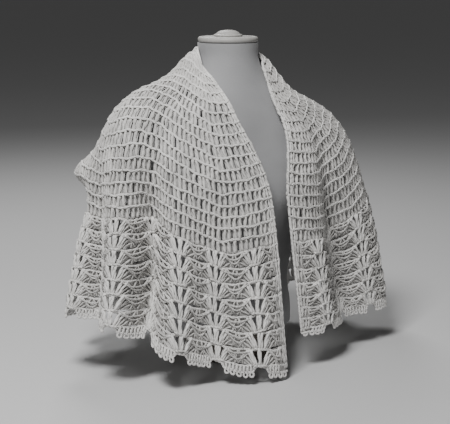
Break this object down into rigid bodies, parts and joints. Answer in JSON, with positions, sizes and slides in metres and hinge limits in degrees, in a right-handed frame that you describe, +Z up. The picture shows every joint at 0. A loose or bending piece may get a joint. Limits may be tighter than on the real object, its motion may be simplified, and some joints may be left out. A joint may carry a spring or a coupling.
{
  "type": "crochet shawl on a dress form",
  "caption": "Open-fronted crocheted wool shoulder shawl with a lace border and a scalloped edging, draped in soft folds over a limbless dress form with a turned neck cap.",
  "frame": {"origin": "The centre of the flat underside of the form's foot, which stands on the floor.", "axes": "+Z is up. The form's chest faces -Y. +X is the wearer's left."},
  "size_m": [0.6786, 0.4352, 0.595],
  "materials": {
    "wool_yoke": "off-white wool yarn, open crochet rows, matt",
    "wool_border": "off-white wool yarn, crochet fan lace, matt",
    "wool_edging": "off-white wool yarn, crochet scallops with picots, matt",
    "form_cover": "plain grey jersey cover, fine weave, matt",
    "turned_wood": "turned wood, grey paint, satin",
    "foot_wood": "turned wood, dark stain, satin"
  },
  "bodies": {
    "root": {"shawl_yoke": "wool_yoke", "border_right": "wool_border", "border_back": "wool_border", "border_left": "wool_border", "edging_right": "wool_edging", "edging_back": "wool_edging", "edging_left": "wool_edging", "form_body": "form_cover", "form_cap": "turned_wood", "form_knob": "turned_wood", "form_foot": "foot_wood"}
  },
  "joints": []
}
